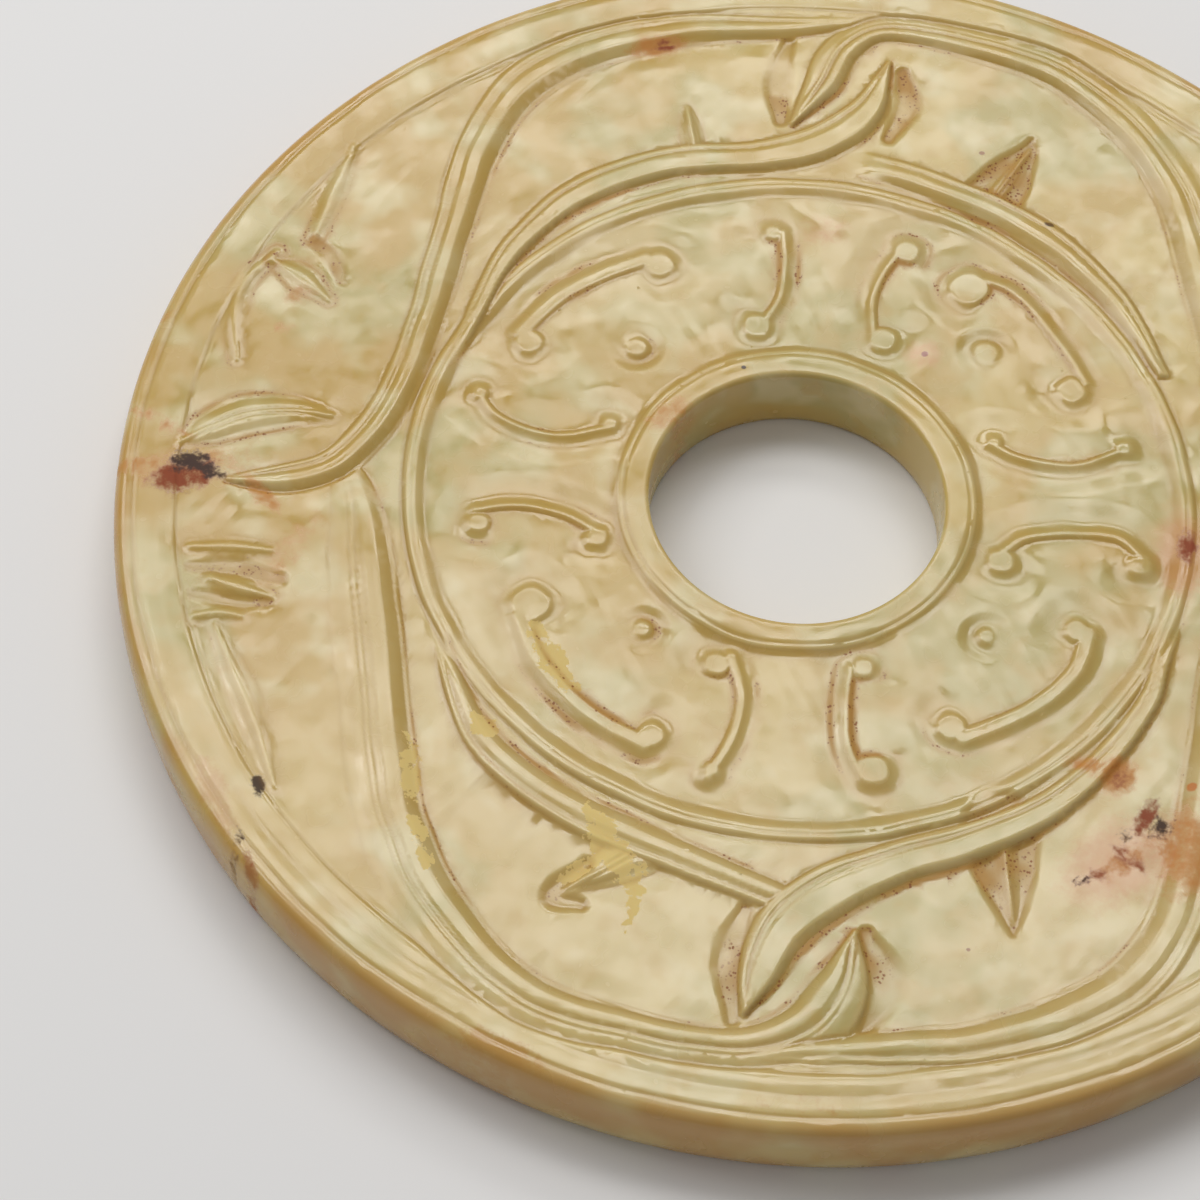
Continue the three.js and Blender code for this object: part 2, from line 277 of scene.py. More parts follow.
def deselect_all():
    """Leaves nothing selected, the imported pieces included."""
    for thing in bpy.context.view_layer.objects:
        thing.select_set(False)


def read(items, name, kind, each=1):
    """Reads one property of a mesh's items, with each numbers in it."""
    values = np.empty(len(items) * each, dtype=kind)
    items.foreach_get(name, values)
    return values


def points_of(mesh):
    """The places of all the points, in millimetres."""
    return read(mesh.vertices, "co", float, 3).reshape(-1, 3) / MM


def edge_ends(mesh):
    """The numbers of the two points of every edge."""
    return read(mesh.edges, "vertices", np.int32, 2).reshape(-1, 2).T


def select_rings(mesh, rings, slack=0.02):
    """Selects the edges of rings, each given by its centre, radius and height."""
    x, y, z = points_of(mesh).T
    first, second = edge_ends(mesh)
    points, edges = np.zeros(len(x), dtype=bool), np.zeros(len(first), dtype=bool)
    for centre, radius, height in rings:
        distance = np.hypot(x - centre[0], y - centre[1])
        on_ring = (np.abs(distance - radius) < slack) & (np.abs(z - height) < slack)
        points |= on_ring
        edges |= on_ring[first] & on_ring[second]
    mesh.vertices.foreach_set("select", points)
    mesh.edges.foreach_set("select", edges)
    mesh.polygons.foreach_set("select", np.zeros(len(mesh.polygons), dtype=bool))


def pull_ring(slab, centre, profile):
    """Extrudes a ring of edges along a profile of radius and height."""
    radius, height = profile[0]
    select_rings(slab.data, [(centre, radius, height)])
    set_mode(mode="EDIT")
    pivot = Vector((centre[0], centre[1], 0)) * MM
    for next_radius, next_height in profile[1:]:
        bpy.ops.mesh.extrude_edges_move()
        share = next_radius / radius
        bpy.ops.transform.resize(value=(share, share, 1), center_override=pivot)
        bpy.ops.transform.translate(value=(0, 0, (next_height - height) * MM))
        radius, height = next_radius, next_height
    set_mode(mode="OBJECT")


print(SPOKES, "spokes round the disc")

# %% Profiles of the rim and of the wall of the hole, as radius and height
UNDERSIDE = 0.35
TOP_EDGE = 54.2
HOLE_EDGE = 12.0
RIM_PROFILE = [
    (TOP_EDGE, THICKNESS - 0.1), (54.5, THICKNESS - 0.3), (54.75, THICKNESS - 0.65),
    (54.92, THICKNESS - 1.2), (55, THICKNESS - 2.2), (55, 3.1), (54.95, 2), (54.8, 1),
    (54.5, 0.4), (54.1, 0.12), (53.6, 0), (50.8, 0), (50.1, 0.06), (49.4, 0.29),
    *((radius, UNDERSIDE) for radius in (48.8, 44, 39, 34, 29, 24)),
    (20, UNDERSIDE + 0.05),
]
WALL_PROFILE = [
    (HOLE_EDGE, THICKNESS), (11.8, THICKNESS - 0.25), (11.7, THICKNESS - 0.7), (11.65, 4.6),
    (11.6, 3.4), (11.65, 2.3), (11.7, 0.8), (11.85, 0.25), (12.2, 0), (14.2, 0), (14.9, 0.3),
    (15.4, UNDERSIDE),
]
print(len(RIM_PROFILE), "rings on the rim and underside")


# %% Turn the slab
TOP_SLAB = 2


def bridge(slab, first, second, cuts=0):
    """Joins two rings with faces, cut into this many more rings."""
    select_rings(slab.data, [first, second])
    set_mode(mode="EDIT")
    bpy.ops.mesh.bridge_edge_loops(number_cuts=cuts, interpolation="LINEAR")
    set_mode(mode="OBJECT")


def select_top(mesh, margin=0.01):
    """Selects the carved side, and returns the numbers of its points."""
    x, y, z = points_of(mesh).T
    from_hole = np.hypot(x - HOLE_CENTRE[0], y - HOLE_CENTRE[1])
    top = (z > THICKNESS - TOP_SLAB) & (np.hypot(x, y) < TOP_EDGE + margin)
    top &= from_hole > HOLE_EDGE - margin
    corners = read(mesh.loops, "vertex_index", np.int32)
    starts = read(mesh.polygons, "loop_start", np.int32)
    mesh.vertices.foreach_set("select", top)
    mesh.edges.foreach_set("select", np.zeros(len(mesh.edges), dtype=bool))
    mesh.polygons.foreach_set("select", np.logical_and.reduceat(top[corners], starts))
    return np.flatnonzero(top)


def make_slab():
    """Two circles with the rim and the wall pulled out of them, and bridged."""
    deselect_all()
    circle = bpy.ops.mesh.primitive_circle_add
    circle(vertices=SPOKES, radius=TOP_EDGE * MM, location=(0, 0, THICKNESS * MM))
    slab = bpy.context.object
    slab.name = "bi_disc_stone"
    bpy.ops.object.transform_apply(location=True, rotation=True, scale=True)
    set_mode(mode="EDIT")
    hole_middle = Vector((*HOLE_CENTRE, THICKNESS)) * MM
    circle(vertices=SPOKES, radius=HOLE_EDGE * MM, location=hole_middle)
    set_mode(mode="OBJECT")
    select_rings(slab.data, [((0, 0), TOP_EDGE, THICKNESS)])
    set_mode(mode="EDIT")
    bpy.ops.transform.translate(value=(0, 0, (RIM_PROFILE[0][1] - THICKNESS) * MM))
    set_mode(mode="OBJECT")
    pull_ring(slab, (0, 0), RIM_PROFILE)
    pull_ring(slab, HOLE_CENTRE, WALL_PROFILE)
    bridge(slab, ((0, 0), *RIM_PROFILE[-1]), (HOLE_CENTRE, *WALL_PROFILE[-1]))
    top_edges = ((0, 0), *RIM_PROFILE[0]), (HOLE_CENTRE, *WALL_PROFILE[0])
    bridge(slab, *top_edges, cuts=TOP_RINGS - 1)
    select_top(slab.data)
    set_mode(mode="EDIT")
    bpy.ops.mesh.select_mode(type="FACE")
    bpy.ops.mesh.subdivide(number_cuts=TOP_CUTS)
    bpy.ops.mesh.select_all(action="SELECT")
    bpy.ops.mesh.normals_make_consistent(inside=False)
    set_mode(mode="OBJECT")
    return slab


stone = make_slab()
print(len(stone.data.vertices), "points and", len(stone.data.polygons), "faces on the slab")


# %% [markdown]
# ## Following a drawn line
# To carve along a line, each point of the net needs to know how far it is from the line, on which
# side, how far along it, and how wide the form is there. The line is a smooth curve through the few
# drawn points. Only points near it are measured, so this is quick.

# %% Smooth curves, soft steps and distances to a line
def smooth(share):
    """A soft step from 0 to 1."""
    share = np.clip(share, 0, 1)
    return share * share * (3 - 2 * share)


def blend(under, over, share):
    """The second where share is 1, the first where it is 0."""
    return under * (1 - share) + over * share


def curve_through(points, step=0.35):
    """A smooth curve through the points, as many short steps."""
    points = np.array(points, dtype=float)
    gaps = np.sqrt(np.linalg.norm(np.diff(points[:, :2], axis=0), axis=1))
    when = np.concatenate([[0], np.cumsum(gaps)])
    slopes = np.gradient(points, when, axis=0)
    lines = []
    for i, gap in enumerate(gaps):
        length = np.linalg.norm(points[i + 1, :2] - points[i, :2])
        t = np.linspace(0, 1, max(2, int(length / step)), endpoint=False)[:, None]
        start, end = points[i], points[i + 1]
        lines.append(
            (2 * t**3 - 3 * t**2 + 1) * start + (t**3 - 2 * t**2 + t) * gap * slopes[i]
            + (3 * t**2 - 2 * t**3) * end + (t**3 - t**2) * gap * slopes[i + 1]
        )
    return np.concatenate(lines + [points[-1:]])


TOGETHER = 10


def follow(path, x, y, reach):
    """The points near the path: which, how far across and along, and the half width there."""
    line = curve_through(path)
    count = len(line) - 1
    closest = np.full(len(x), np.inf)
    across, along, width = np.zeros(len(x)), np.zeros(len(x)), np.ones(len(x))
    for first in range(0, count, TOGETHER):
        steps = range(first, min(first + TOGETHER, count))
        part = line[first:steps.stop + 1]
        near = np.flatnonzero(
            (x > part[:, 0].min() - reach) & (x < part[:, 0].max() + reach)
            & (y > part[:, 1].min() - reach) & (y < part[:, 1].max() + reach)
        )
        px, py = x[near], y[near]
        for k in steps:
            ax, ay = line[k, :2]
            bx, by = line[k + 1, :2] - line[k, :2]
            t = np.clip(((px - ax) * bx + (py - ay) * by) / (bx * bx + by * by), 0, 1)
            gap = np.hypot(px - ax - t * bx, py - ay - t * by)
            better = gap < closest[near]
            hit = near[better]
            closest[hit] = gap[better]
            side = np.sign(bx * (py - ay) - by * (px - ax))[better]
            across[hit] = gap[better] * np.where(side == 0, 1, side)
            along[hit] = (k + t[better]) / count
            width[hit] = line[k, 2] + t[better] * (line[k + 1, 2] - line[k, 2])
    found = np.flatnonzero(closest < reach)
    return found, across[found], along[found], width[found]


print("half way up, a soft step is at", smooth(0.5))

# %% [markdown]
# Polishing by hand leaves soft swells and long faint marks. Both come from a table of random
# heights with smooth slopes between them, squeezed in one direction for the marks. The table has a
# fixed seed, so the stone is the same on every run.

# %% Swells and marks
TABLE_SIZE = 64
TABLE_START = (200.3, 200.7)


def waves(x, y, wavelength, seed):
    """Soft random swells, from -1 to 1, the same on every run."""
    table = np.random.default_rng(seed).uniform(-1, 1, (TABLE_SIZE, TABLE_SIZE))
    u, v = x / wavelength + TABLE_START[0], y / wavelength + TABLE_START[1]
    i, j = np.floor(u).astype(int), np.floor(v).astype(int)
    a, b = smooth(u - i), smooth(v - j)
    left, right = i % TABLE_SIZE, (i + 1) % TABLE_SIZE
    near, far = j % TABLE_SIZE, (j + 1) % TABLE_SIZE
    low = table[left, near] * (1 - a) + table[right, near] * a
    high = table[left, far] * (1 - a) + table[right, far] * a
    return low * (1 - b) + high * b


def streaks(x, y, across, along, seed):
    """Marks of the polishing, this wide and this long, drawn out along y."""
    return waves(x * along / across, y, along, seed)


print("a table of", TABLE_SIZE, "by", TABLE_SIZE, "random heights")


# %% [markdown]
# ## One idiom of carving
# All the raised lines are cut in the same way. The edge drops in a short steep flank to a crease,
# and from there the ground climbs back in a long shallow dish. The flank shows a deeper honey,
# partly because it mirrors little light and partly from painted shade laid on in the material,
# while the dish still mirrors the light. One helper makes this pair of slopes, and the bands, hooks
# and rings all use it.

# %% Flank, dish and fine cut
FLANK_BEND = 1.15
BROAD_FLANK = 0.6


def flank_and_dish(beyond, flank, run):
    """Share of the full depth at a distance beyond an edge: 0 on it, 1 at the crease, 0 far out."""
    down = np.clip(beyond / flank, 0, 1) ** FLANK_BEND
    back = np.clip(1 - (beyond - flank) / run, 0, 1)
    return down * (2 - down if flank > BROAD_FLANK else 1) * back * back * (3 - 2 * back)


def fine_cut(distance, depth=0.08, half_width=0.2):
    """Depth of a narrow V-shaped cut at this distance from its middle."""
    return depth * np.clip(1 - np.abs(distance) / half_width, 0, 1)


def settled(beyond, at, spread):
    """Share of earth caught beyond an edge: 1 at this distance, and less round it."""
    return np.exp(-((beyond - at) / spread) ** 2)


print("a fine cut is", fine_cut(0), "mm deep in its middle")


# %% [markdown]
# ## The serpent bodies
# A cut across a body shows, from its outer edge inwards, a low shoulder with two fine cuts side by
# side, a narrow valley, a flat crest that catches the light, and a broad flank that drops to the
# ground. Bodies that run over others are laid later and cut into them. A section is a list of
# shares of the half width and of the height, from the foot of the flank at -1 to the edge at 1.

# %% Sections of the bodies, and where their double cuts lie
BAND_SECTION = [
    (-1, 0.02), (-0.93, -0.12), (-0.86, -0.06), (-0.36, 0.93), (-0.26, 1), (0.12, 0.98),
    (0.34, 0.72), (0.46, 0.7), (0.6, 0.84), (0.84, 0.8), (1, 0.42),
]
SIDE_SECTION = [
    (-1, 0.02), (-0.94, -0.12), (-0.88, -0.06), (-0.52, 0.93), (-0.44, 1), (-0.14, 0.98),
    (-0.02, 0.8), (0.1, 0.86), (0.34, 0.86), (0.44, 0.78), (1, 0.42),
]
LEAF_SECTION = [
    (-1, 0.02), (-0.95, -0.14), (-0.9, -0.08), (-0.6, 0.92), (-0.5, 1), (0.3, 0.96),
    (0.44, 0.76), (0.58, 0.84), (0.9, 0.82), (1, 0.5),
]
BAND_CUTS_AT, SIDE_CUTS_AT, LEAF_CUTS_AT = 0.75, 0.22, 0.74
CUT_SPACING = 0.24
TUCKED_HEIGHT, INNER_HEIGHT = 0.34, 0.43
print(len(BAND_SECTION), "knots in a body's section")

# %% Lay one body
BAND_REACH = 5.5
FOOT_DEPTH = 0.09
OUTWARD_SHARE = 0.35
EDGE_BLUR = 0.42
HIDDEN_START = 0.14
NARROWEST_CUT = 0.7
MARKS_ON_BANDS = 0.014
MOST_SETTLED, LEAST_SETTLED = 0.9, 0.25


def lay_band(height, dirt, x, y, path, side, section, cuts_at, lift):
    """Lays one serpent body over the heights. side is +1 where its fine cuts are on the left."""
    found, across, along, width = follow(path, x, y, BAND_REACH)
    beyond = np.abs(across) - width
    fade = smooth(along / 0.04) * smooth((1 - along) / 0.02)
    inward = np.where(across * side < 0, 1, OUTWARD_SHARE)
    height[found] -= FOOT_DEPTH * inward * flank_and_dish(beyond + 0.15, 0.15, 2.6) * fade
    knots = np.array(section)
    rise = OUTER_GROUND + lift * np.interp(across * side / width, *knots.T)
    rise += MARKS_ON_BANDS * streaks(across, along * 60, 0.55, 7, 30)
    middle = across * side - cuts_at * width
    double = fine_cut(middle - CUT_SPACING) + fine_cut(middle + CUT_SPACING)
    rise -= double * smooth((width - NARROWEST_CUT) / 0.5)
    cover = smooth(0.5 - beyond / EDGE_BLUR) * smooth(along / HIDDEN_START)
    height[found] = blend(height[found], rise, cover)
    at_foot = MOST_SETTLED * inward * settled(beyond, 0.05, 0.22)
    dirt[found] = np.maximum(dirt[found] * (1 - cover), at_foot)
    dirt[found] = np.maximum(dirt[found], LEAST_SETTLED * (double > 0.02) * cover)


BANDS = [
    (WEST_LOWER_BAND, -1, SIDE_SECTION, SIDE_CUTS_AT, BAND_HEIGHT),
    (SOUTH_TUCKED_BAND, -1, BAND_SECTION, BAND_CUTS_AT, TUCKED_HEIGHT),
    (NORTH_BORDER_BAND, -1, SIDE_SECTION, SIDE_CUTS_AT, BAND_HEIGHT),
    (NORTH_TUCKED_BAND, 1, BAND_SECTION, BAND_CUTS_AT, TUCKED_HEIGHT),
    (WEST_UPPER_BAND, -1, BAND_SECTION, BAND_CUTS_AT, BAND_HEIGHT),
    (half_turn(WEST_UPPER_BAND), -1, BAND_SECTION, BAND_CUTS_AT, BAND_HEIGHT),
    (SOUTH_INNER_BAND, -1, LEAF_SECTION, LEAF_CUTS_AT, INNER_HEIGHT),
    (NORTH_INNER_BAND, 1, LEAF_SECTION, LEAF_CUTS_AT, INNER_HEIGHT),
]
print(len(BANDS), "bodies, the last ones on top")


# %% [markdown]
# ## Claws, masks and hollows
# The claws and the small forms of the masks are pointed leaves, most with two fine cuts down the
# middle. Beside the knots and round two of the claws the ground is sunk deeper.

# %% Sink a hollow, raise a leaf
HOLLOW_REACH, LEAF_REACH = 3.5, 4.5
EARTH_IN_HOLLOWS, EARTH_BESIDE_LEAVES = 0.8, 0.6
LEAF_DISH = 0.25
LEAF_CUT_SPACING, LEAF_CUT_DEPTH = 0.26, 0.1


def sink_line(height, dirt, x, y, path, depth, flank=None):
    """Sinks a hollow along a path, soft or with a flank of its own width."""
    found, across, along, width = follow(path, x, y, HOLLOW_REACH)
    bowl = smooth(1.3 - np.abs(across) / (width + 0.35))
    if flank:
        bowl = smooth(0.5 - (np.abs(across) - width) / flank)
    height[found] -= depth * bowl
    dirt[found] = np.maximum(dirt[found], EARTH_IN_HOLLOWS * bowl)


def raise_leaf(height, dirt, x, y, path, lift, cut=True):
    """Raises a pointed leaf with a dish round it, and two fine cuts down its middle."""
    found, across, along, width = follow(path, x, y, LEAF_REACH)
    beyond = np.abs(across) - width
    body = smooth(-beyond / (0.3 + 0.6 * width))
    height[found] += lift * (body - LEAF_DISH * flank_and_dish(beyond, 0.3, 1.6))
    if cut:
        height[found] -= fine_cut(np.abs(across) - LEAF_CUT_SPACING, LEAF_CUT_DEPTH) * body
    dirt[found] = np.maximum(dirt[found], EARTH_BESIDE_LEAVES * settled(beyond, 0.3, 0.3))


print("a leaf's two cuts are", 2 * LEAF_CUT_SPACING, "mm apart")


# %% [markdown]
# ## The hooks
# A hook is what is left of the old surface between two cuts: a flank and a dish outside it, and
# inside its bend a shallow scoop that ends in a small step. So its crest is a thin bright line, and
# its two curled ends are small flat facets.

# %% Hooks and eyes
HOOK_REACH, EYE_REACH = 7, 4
HOOK_DEPTH, HOOK_FLANK, HOOK_DISH = 0.185, 1.0, 2.2
SCOOP_DEPTH, SCOOP_FLANK, SCOOP_DISH = 0.13, 0.3, 3.2
EYE_DEPTH, EYE_FLANK, EYE_DISH = 0.22, 0.7, 1.2
CREST_LIFT, EYE_LIFT = 0.05, 0.04
FACET_SQUARENESS = 2.4


def facet_distance(dx, dy, turn):
    """Distance from the middle of an end facet, a soft square turned with the hook."""
    u = dx * math.cos(turn) + dy * math.sin(turn)
    v = dy * math.cos(turn) - dx * math.sin(turn)
    return (np.abs(u) ** FACET_SQUARENESS + np.abs(v) ** FACET_SQUARENESS) ** (1 / FACET_SQUARENESS)


def carve_hook(height, dirt, x, y, crest, ends, half_width, bend_side):
    """Cuts one hook free. bend_side is +1 where the inside of the bend is on the left."""
    path = [(px, py, half_width) for px, py in crest]
    found, across, along, width = follow(path, x, y, HOOK_REACH)
    hx, hy = x[found], y[found]
    beyond = np.abs(across) - width
    inside = smooth((along - 0.03) / 0.1) * smooth((0.97 - along) / 0.1) * (across * bend_side > 0)
    turn = math.atan2(crest[-1][1] - crest[0][1], crest[-1][0] - crest[0][0])
    for px, py, radius in ends:
        beyond = np.minimum(beyond, facet_distance(hx - px, hy - py, turn) - radius)
    outer = HOOK_DEPTH * flank_and_dish(beyond, HOOK_FLANK, HOOK_DISH)
    inner = SCOOP_DEPTH * flank_and_dish(beyond, SCOOP_FLANK, SCOOP_DISH)
    height[found] -= outer * (1 - inside) + inner * inside
    height[found] += CREST_LIFT * smooth(0.5 - beyond / 0.4)
    dirt[found] = np.maximum(dirt[found], 0.85 * inside * settled(beyond, 0.25, 0.3))
    dirt[found] = np.maximum(dirt[found], 0.55 * (1 - inside) * settled(beyond, 1.0, 0.35))


def carve_eye(height, dirt, x, y, px, py, radius, turn):
    """Cuts an eye free, with the deeper side of its groove towards the angle turn."""
    found = np.flatnonzero((np.abs(x - px) < EYE_REACH) & (np.abs(y - py) < EYE_REACH))
    dx, dy = x[found] - px, y[found] - py
    beyond = np.hypot(dx, dy) - radius
    lean = 0.55 + 0.45 * np.cos(np.arctan2(dy, dx) - math.radians(turn))
    height[found] -= EYE_DEPTH * lean * flank_and_dish(beyond, EYE_FLANK, EYE_DISH)
    height[found] += EYE_LIFT * smooth(0.5 - beyond / 0.3)
    dirt[found] = np.maximum(dirt[found], 0.5 * lean * settled(beyond, 0.6, 0.4))


print("a hook's groove is", HOOK_DEPTH, "mm deep")


# %% [markdown]
# ## The ground
# The ground has a shape of its own. The border, the ring round the hole and the inner circle stand
# above it, and at the two sides, where the animal masks are, less stone was taken away than above
# and below. Soft swells from the polishing break up the reflections.

# %% Swells of the ground, and the two side cells
SIDE_EDGE = [
    (46, 25), (34, 28), (22, 30.3), (9, 33), (0, 36),
    (-9, 35), (-20, 33.2), (-31, 31), (-38, 27.6), (-46, 19),
]


def swells(x, y, first_seed, size, depth):
    """Soft uneven polish: broad swells with smaller ones on them."""
    broad = waves(x, y, size, first_seed)
    small = waves(x * 0.8 + y * 0.6, y * 0.8 - x * 0.6, size * 0.4, first_seed + 1)
    return depth * (broad + 0.5 * small + 0.2 * waves(x, y, size * 0.17, first_seed + 2))


def sides_weight(x, y):
    """1 in the two side cells, 0 in the cells above and below."""
    edge_y = [point[0] for point in SIDE_EDGE[::-1]]
    edge_x = [point[1] for point in SIDE_EDGE[::-1]]
    left, right = np.interp(y, edge_y, edge_x), np.interp(-y, edge_y, edge_x)
    return np.clip(smooth((-x - left + 1.5) / 3) + smooth((x - right + 1.5) / 3), 0, 1)


print("side cells", round(SIDE_GROUND - OUTER_GROUND, 2), "mm higher")

# %% The outer and the inner zone
GROUND_SWELL = 0.075
OUTER_MARKS, INNER_MARKS, CIRCLE_MARKS = 0.016, 0.014, 0.012
NEAR_BORDER = THICKNESS - 0.2
CIRCLE_TOP = THICKNESS - 0.26
CIRCLE_DISH = 0.14


def outer_zone(x, y, from_middle):
    """The ground outside the inner circle, which rises towards the border."""
    height = OUTER_GROUND + (SIDE_GROUND - OUTER_GROUND) * sides_weight(x, y)
    height += (NEAR_BORDER - height) * smooth((from_middle - 47.2) / 1.6)
    marks = streaks(0.8 * x - 0.6 * y, 0.6 * x + 0.8 * y, 0.8, 8, 31)
    height += swells(x, y, 1, 9, GROUND_SWELL) + OUTER_MARKS * marks
    return height


def inner_zone(x, y, from_circle, round_it):
    """The ground inside the inner circle, and the circle itself."""
    marks = streaks(0.9 * x + 0.44 * y, 0.9 * y - 0.44 * x, 0.7, 6, 32)
    inner = INNER_GROUND + swells(x, y, 4, 8, GROUND_SWELL) + INNER_MARKS * marks
    dish = CIRCLE_DISH * flank_and_dish(-from_circle - 0.7, 1.2, 2.8)
    inner += (CIRCLE_TOP - INNER_GROUND) * smooth((from_circle + 1.9) / 1.2) - dish
    turned_marks = CIRCLE_MARKS * streaks(from_circle, round_it, 0.5, 8, 33)
    return inner + turned_marks * smooth((from_circle + 2) / 1)


print("inner circle", round(CIRCLE_TOP - INNER_GROUND, 2), "mm high")

# %% The border and the ring round the hole
BORDER_MIDDLE, BORDER_CROWN, BORDER_SWELL = 51.9, 0.06, 0.025
FRONT_GROOVE_RADIUS, FRONT_GROOVE_DEPTH = 51.8, 0.1
RING_MIDDLE, RING_CROWN, RING_SWELL = 12.9, 0.04, 0.02
RING_TOP = THICKNESS - 0.1


def border_zone(x, y, from_middle, round_it):
    """The raised border, softly crowned, with a shallow groove along its front."""
    level = THICKNESS - BORDER_CROWN * ((from_middle - BORDER_MIDDLE) / 1.8) ** 2
    groove = fine_cut(from_middle - FRONT_GROOVE_RADIUS, FRONT_GROOVE_DEPTH, 0.9)
    level = level + swells(x, y, 7, 7, BORDER_SWELL)
    marks = OUTER_MARKS * streaks(from_middle, round_it, 0.6, 9, 34)
    return level + (marks - groove * smooth((-y - 22) / 14))


def ring_zone(x, y, from_hole):
    """The ring round the hole, softly crowned."""
    crown = RING_CROWN * ((from_hole - RING_MIDDLE) / 0.9) ** 2
    return RING_TOP - crown + swells(x, y, 10, 6, RING_SWELL)


print("ring", round(THICKNESS - RING_TOP, 2), "mm under the border")

# %% Put the zones together
EARTH_BY_RING = 0.35


def ground_height(x, y, dirt):
    """Heights of the polished slab before the bands and hooks are laid on."""
    from_middle = np.hypot(x, y)
    round_it = np.arctan2(y, x) * 50
    circle_x, circle_y = CIRCLE_CENTRE
    from_circle = np.hypot(x - circle_x, y - circle_y) - CIRCLE_RADIUS
    from_hole = np.hypot(x - HOLE_CENTRE[0], y - HOLE_CENTRE[1])

    height = outer_zone(x, y, from_middle)
    inner = inner_zone(x, y, from_circle, round_it)
    height = blend(height, inner, smooth(0.5 - from_circle / 0.5))
    height -= fine_cut(from_circle + 0.45, 0.07, 0.24) + fine_cut(from_circle - 0.3, 0.07, 0.22)

    border = border_zone(x, y, from_middle, round_it)
    height = blend(height, border, smooth((from_middle - BORDER_FROM + 0.7) / 1.2))
    edge_line = fine_cut(from_middle - EDGE_LINE_RADIUS, 0.08, 0.2)
    height -= edge_line + fine_cut(from_middle - BORDER_FROM, 0.06, 0.22)

    ring = ring_zone(x, y, from_hole)
    height = blend(height, ring, smooth((HOLE_RING_RADIUS + 1.1 - from_hole) / 0.9))
    ring_line = fine_cut(from_hole - HOLE_RING_RADIUS - 0.05, 0.08, 0.22)
    height -= ring_line + fine_cut(from_hole - HOLE_RING_RADIUS - 0.55, 0.06, 0.2)
    dirt[:] = np.maximum(dirt, EARTH_BY_RING * settled(from_hole, 14.6, 0.5))
    return height


print("border from", BORDER_FROM, "mm outwards")


# %% [markdown]
# ## Carving the face
# The forms are cut in the order in which they lie: hollows and masks first, then the bodies from
# the lowest to the uppermost, then the hooks and eyes. All lines wander a little, as a hand does.

# %% Carve the whole top face
HAND_WANDER, WANDER_LENGTH = 0.1, 3.1
SCOOP_BY_KNOTS, RECESS_DEPTH, RECESS_FLANK = 0.2, 0.2, 0.9
MASK_RIDGE_LIFT, MASK_CUT_DEPTH, MASK_LEAF_LIFT, CLAW_LIFT = 0.16, 0.1, 0.2, 0.26


def carve_masks(height, dirt, x, y, place):
    """Carves one mask. place is half_turn for the right one."""
    for ridge in MASK_RIDGES:
        raise_leaf(height, dirt, x, y, place(ridge), MASK_RIDGE_LIFT, cut=False)
    for cut in MASK_CUTS:
        sink_line(height, dirt, x, y, place(cut), MASK_CUT_DEPTH)
    raise_leaf(height, dirt, x, y, place(MASK_LEAF), MASK_LEAF_LIFT)


def carve(x, y):
    """Height of the carved face at each point, and how much earth is left there."""
    wander_x = HAND_WANDER * waves(x, y, WANDER_LENGTH, 20)
    wander_y = HAND_WANDER * waves(x, y, WANDER_LENGTH, 21)
    x, y = x + wander_x, y + wander_y
    dirt = np.zeros(len(x))
    height = ground_height(x, y, dirt)
    for scoop in SCOOPS:
        sink_line(height, dirt, x, y, scoop, SCOOP_BY_KNOTS)
    for recess in RECESSES:
        sink_line(height, dirt, x, y, recess, RECESS_DEPTH, RECESS_FLANK)
    for place in (list, half_turn):
        carve_masks(height, dirt, x, y, place)
    for claw in CLAWS:
        raise_leaf(height, dirt, x, y, claw, CLAW_LIFT)
    for band in BANDS:
        lay_band(height, dirt, x, y, *band)
    for hook in HOOKS:
        carve_hook(height, dirt, x, y, *hook)
    for eye in EYES:
        carve_eye(height, dirt, x, y, *eye)
    return height, dirt


print(len(SCOOPS) + len(RECESSES), "hollows beside the knots and claws")


# %% [markdown]
# ## What the material needs to know
# The material paints light and shade into the colour from the carved form: a painted highlight on a
# crest, and painted shade in a crease and on a steep flank. Earth stays in the cuts, in some places
# more than in others. Each point of the net stores four numbers as attributes for the material to
# read: its share of a crest, of a crease and of a steep flank, and its earth.

# %% Store numbers on the points
EARTHY_PLACES = [
    (5, 41, 5, 2.5), (-3, 43, 3.5, 1.5), (-21, 29, 7, 2), (-3, 21, 4, 2.5), (8, 22, 4, 1.5),
    (-19, 20, 5, 1.5), (-23, -4, 6, 2.5), (-13, -22, 5, 2.5), (3, -20, 5, 2.5), (-5, -20, 4, 1.2),
    (0, -38, 6, 3), (12, -31, 7, 2), (-42, 20, 5, 2), (-45, 5, 6, 2.2), (16, 31, 6, 2),
    (-14, 14, 3, 2), (-13, -13, 3, 2), (-44, -12, 4, 1), (-22, -26, 8, 2), (18, 23, 5, 1.2),
]
EARTH_SHARE, EARTH_CONTRAST = 0.6, 1.3
SHARPEST = 0.009
STEEP_FROM, STEEP_TO = math.radians(6), math.radians(17)


def keep_values(mesh, name, points, values):
    """Stores one number per point on the mesh, under a name that the material can read."""
    everywhere = np.zeros(len(mesh.vertices))
    everywhere[points] = values
    mesh.attributes.new(name, "FLOAT", "POINT").data.foreach_set("value", everywhere)


def hollows(mesh, level, rounds=3):
    """How much lower than its neighbours each point is: 1 in creases, -1 on crests."""
    first, second = edge_ends(mesh)
    count = len(mesh.vertices)
    neighbours = np.bincount(first, minlength=count) + np.bincount(second, minlength=count)

    def average(values):
        """The mean of each point's neighbours."""
        total = np.bincount(first, values[second], count)
        total += np.bincount(second, values[first], count)
        return total / neighbours

    form = average(level) - level
    for _ in range(rounds):
        form = 0.4 * form + 0.6 * average(form)
    return form / SHARPEST


